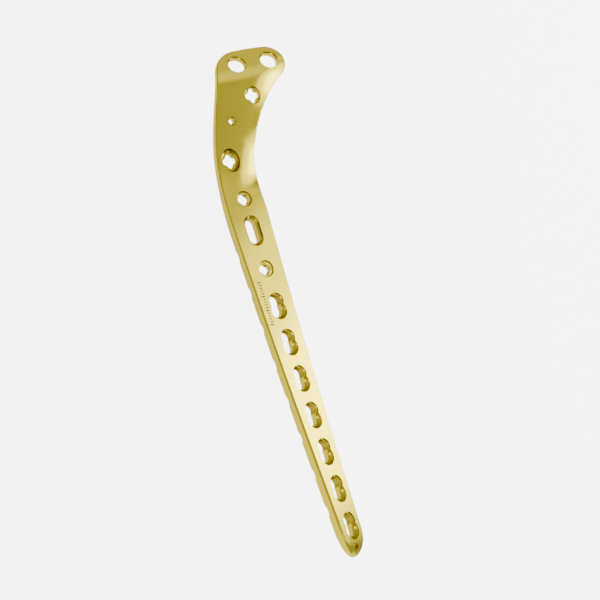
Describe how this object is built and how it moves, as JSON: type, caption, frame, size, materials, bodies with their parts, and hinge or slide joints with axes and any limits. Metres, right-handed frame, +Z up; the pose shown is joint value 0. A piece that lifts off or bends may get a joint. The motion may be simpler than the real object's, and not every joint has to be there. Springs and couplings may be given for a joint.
{
  "type": "orthopedic bone plate",
  "caption": "Slender twisted bone plate of gold-anodised metal with a spoon-shaped head, a row of combination screw holes, lobed holes, a slot and wire holes.",
  "frame": {"origin": "centre of the plate's outline at the height of the surface it lies on, underside down", "axes": "+X along the shaft towards the broad head, +Y towards the straighter left edge, +Z up out of the screw-head side"},
  "size_m": [0.1794, 0.0382, 0.0092],
  "materials": {
    "plate_metal": "gold-anodised titanium, satin"
  },
  "bodies": {
    "root": {"bone_plate": "plate_metal"}
  },
  "joints": []
}
